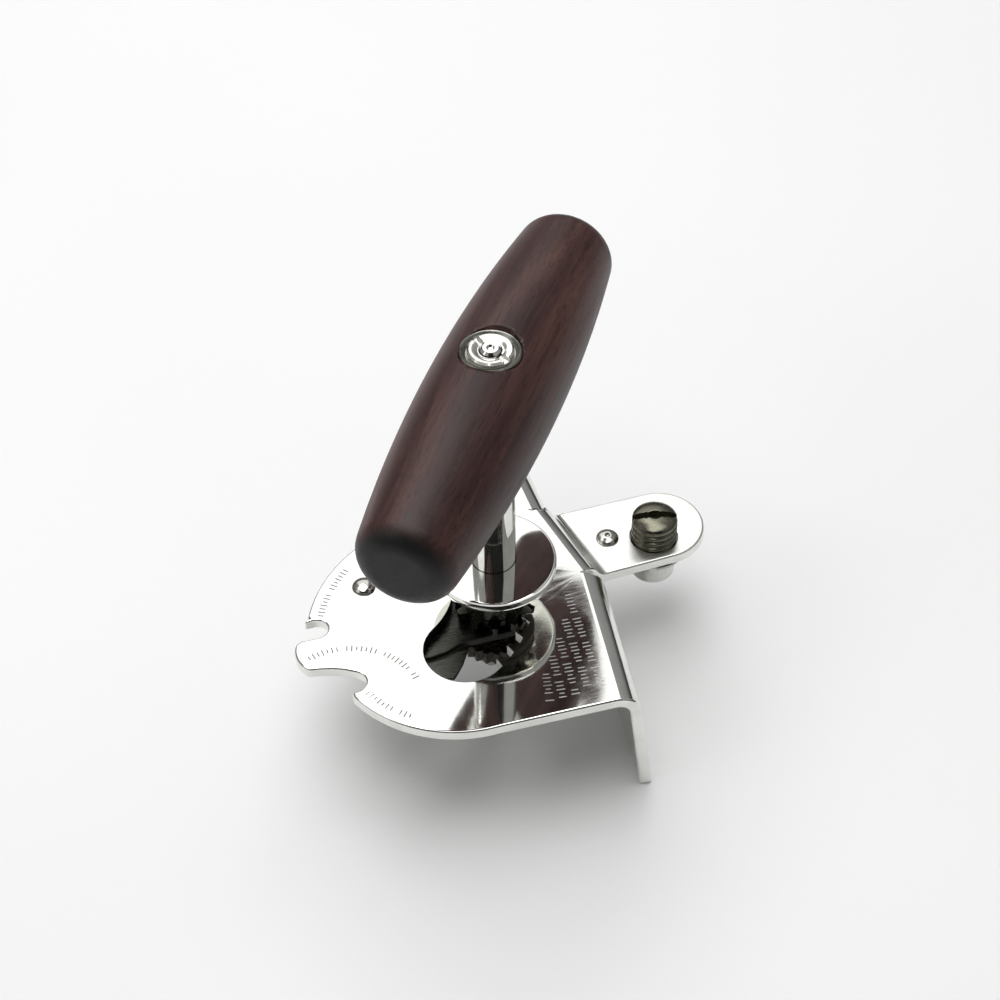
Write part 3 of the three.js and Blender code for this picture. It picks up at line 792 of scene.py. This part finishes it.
def stroke(bm, x, y, angle, length, width, height):
    """One thin raised tick lying on the plate, as a flat six-sided sliver."""
    along = Vector((math.cos(angle), math.sin(angle), 0))
    across = Vector((-along.y, along.x, 0))
    middle = Vector((x, y, plate_top))
    ends = []
    for side, share in ((-1, -0.5), (-1, 0.35), (0, 0.5), (1, 0.35), (1, -0.5)):
        ends.append(middle + along * (length * share) + across * (side * width / 2))
    top = [bm.verts.new(p + Vector((0, 0, height))) for p in ends]
    bottom = [bm.verts.new(p - Vector((0, 0, height))) for p in ends]
    bm.faces.new(top)
    bm.faces.new(list(reversed(bottom)))
    for i in range(len(ends)):
        k = (i + 1) % len(ends)
        bm.faces.new((bottom[i], bottom[k], top[k], top[i]))


TICK_SHARES = (0.7, 1.0, 0.8, 1.0, 0.6, 0.9)
tick_height = 0.02 * MM


def straight_row(bm, start, end, pitch, length):
    """Ticks side by side from start to end, in groups of six."""
    (x0, y0), (x1, y1) = start, end
    run = math.hypot(x1 - x0, y1 - y0)
    count = int(run / pitch)
    angle = math.atan2(y1 - y0, x1 - x0) + math.pi / 2
    for i in range(count):
        if i % 7 == 6:
            continue
        x, y = design(x0 + (x1 - x0) * i / count, y0 + (y1 - y0) * i / count)
        share = TICK_SHARES[i % len(TICK_SHARES)]
        stroke(bm, x, y, angle, length * share * MM, 0.3 * MM, tick_height)


def curved_row(bm, centre, radius, start, stop, pitch, length):
    """Ticks along an arc, pointing at its centre, in groups of seven."""
    count = int(abs(math.radians(stop - start)) * radius / pitch)
    for i in range(count):
        if i % 8 == 7:
            continue
        a = math.radians(start + (stop - start) * i / count)
        x, y = design(centre[0] + radius * math.cos(a), centre[1] + radius * math.sin(a))
        share = TICK_SHARES[i % len(TICK_SHARES)]
        stroke(bm, x, y, a, length * share * MM, 0.26 * MM, tick_height)


def stamped_marks():
    """Plain ticks where the plate is stamped: rows along the bend and curves by the notches. The rows
    are drawn in a paler copy of the metal as painted light, the curves in a darker copy as painted
    shade.
    """
    rows, curves = bmesh.new(), bmesh.new()
    first_x, spacing, lean = 44.2, 3.15, 1.8
    row_ends = [(-17.5, -46.5), (-24.5, -46.5), (-29.5, -47), (-34, -47), (-38.5, -47)]
    for row, (rear_y, front_y) in enumerate(row_ends):
        x = first_x + 0.4 - spacing * row
        straight_row(rows, (x, rear_y), (x - lean, front_y), 1.05, 2.1)
    curved_row(curves, (20, -21), 35.6, 154, 128, 1.05, 1.9)
    curved_row(curves, (-13, -33.5), 17.2, 106, 8, 1.1, 1.9)
    curved_row(curves, (16.9, -18.95), 27.6, 206, 233, 1.1, 1.9)
    # The rows take the paler copy as painted light; the curves take the darker copy as painted shade.
    to_piece(rows, "stamped_rows", "frame", "bright_plate", stamp_painted_light)
    to_piece(curves, "stamped_curves", "frame", "bright_plate", stamp_painted_shade)


# ------------------------------------------------------------------ studio

def studio():
    """A plain pale floor, walls that get brighter upwards, three soft lights and two cards."""
    bm = bmesh.new()
    bmesh.ops.create_grid(bm, x_segments=2, y_segments=2, size=3.0)
    floor = in_scene("floor", mesh_from(bm, "floor"))
    floor.location.z = -0.2 * MM
    material, tree, shader = principled("pale_floor")
    cloud = noise(tree, object_coordinates(tree), scale=3, detail=2)
    tree.links.new(ramp(tree, cloud, [(0.3, grey(0.86)), (0.7, grey(0.90))]),
                   shader.inputs["Base Color"])
    shader.inputs["Roughness"].default_value = 0.9
    shader.inputs["Specular IOR Level"].default_value = 0.1
    floor.data.materials.append(material)

    world = bpy.data.worlds.new("studio")
    bpy.context.scene.world = world
    world.use_nodes = True
    tree = world.node_tree
    background = tree.nodes["Background"]
    direction = add(tree, "ShaderNodeTexCoord").outputs["Generated"]
    split = add(tree, "ShaderNodeSeparateXYZ", Vector=direction)
    walls = ramp(tree, split.outputs["Z"], [(0.0, grey(0.04)), (0.12, grey(0.08)),
                                            (0.35, grey(0.26)), (0.8, grey(0.34))])
    tree.links.new(walls, background.inputs["Color"])
    background.inputs["Strength"].default_value = 1.0

    aim = (shaft_axis.x, shaft_axis.y, plate_top)

    def softbox(name, heading, elevation, distance, size, radiance):
        """A square light, seen from the aim point at a heading from +Y towards +X."""
        toward = heading_vector(heading, elevation)
        light = bpy.data.lights.new(name, "AREA")
        light.shape = "SQUARE"
        light.size = size
        light.energy = radiance * math.pi * size * size
        lamp = in_scene(name, light)
        lamp.location = Vector(aim) + toward * distance
        lamp.rotation_euler = (-toward).to_track_quat("-Z", "Y").to_euler()

    softbox("rear_softbox", 8, 45, 1.3, 0.95, 1.15)
    softbox("top_softbox", -30, 82, 1.1, 1.0, 3.3)
    softbox("left_fill", -95, 35, 1.4, 0.7, 0.9)
    dark_card("brown_card", aim, 21.6, 50.3, 1.1, 0.062, 0.10, (0.05, 0.028, 0.026))
    dark_card("black_card", aim, 195, 47, 0.9, 1.1, 0.5, (0.01, 0.01, 0.01))


def heading_vector(heading, elevation):
    """Unit vector at a heading in degrees from +Y towards +X, and an elevation in degrees."""
    a, e = math.radians(heading), math.radians(elevation)
    return Vector((math.sin(a) * math.cos(e), math.cos(a) * math.cos(e), math.sin(e)))


def dark_card(name, aim, heading, elevation, distance, width, height, color):
    """A card out of the camera's sight, facing the object, that its bright metal mirrors."""
    toward = heading_vector(heading, elevation)
    bm = bmesh.new()
    bmesh.ops.create_grid(bm, x_segments=1, y_segments=1, size=0.5)
    bmesh.ops.scale(bm, vec=(width, height, 1), verts=bm.verts)
    card = in_scene(name, mesh_from(bm, name))
    card.location = Vector(aim) + toward * distance
    card.rotation_euler = (-toward).to_track_quat("Z", "Y").to_euler()
    material, _, shader = principled(name + "_felt")
    shader.inputs["Base Color"].default_value = (*color, 1)
    shader.inputs["Roughness"].default_value = 0.9
    card.data.materials.append(material)


def camera():
    """The view of the photograph: a long lens, looking down from the left of the front."""
    azimuth, elevation, roll = math.radians(17.38), math.radians(46.53), math.radians(-0.814)
    distance, sensor, focal_length = 0.51512, 36, 82.8324
    target = Vector((shaft_axis.x, shaft_axis.y, plate_top + 30 * MM))
    forward = Vector((math.sin(azimuth) * math.cos(elevation),
                      math.cos(azimuth) * math.cos(elevation), -math.sin(elevation)))
    level_right = Vector((math.cos(azimuth), -math.sin(azimuth), 0))
    level_up = level_right.cross(forward)
    right = level_right * math.cos(roll) + level_up * math.sin(roll)
    up = level_up * math.cos(roll) - level_right * math.sin(roll)
    data = bpy.data.cameras.new("camera")
    data.sensor_width = sensor
    data.lens = focal_length
    data.shift_x, data.shift_y = 0.0073, 0.0098
    data.clip_start, data.clip_end = 0.01, 20
    eye = in_scene("camera", data)
    eye.matrix_world = Matrix.Translation(target - forward * distance) @ Matrix(
        (right, up, -forward)).transposed().to_4x4()
    bpy.context.scene.camera = eye
    bpy.context.scene.view_settings.view_transform = "Standard"


camera()
frame_pieces()
cutter_pieces()
lever_pieces()
pinion_pieces()
drive_pieces()
wooden_grip()
handle_fittings()
helical_screw()
smooth_foot()
stamped_marks()
studio()
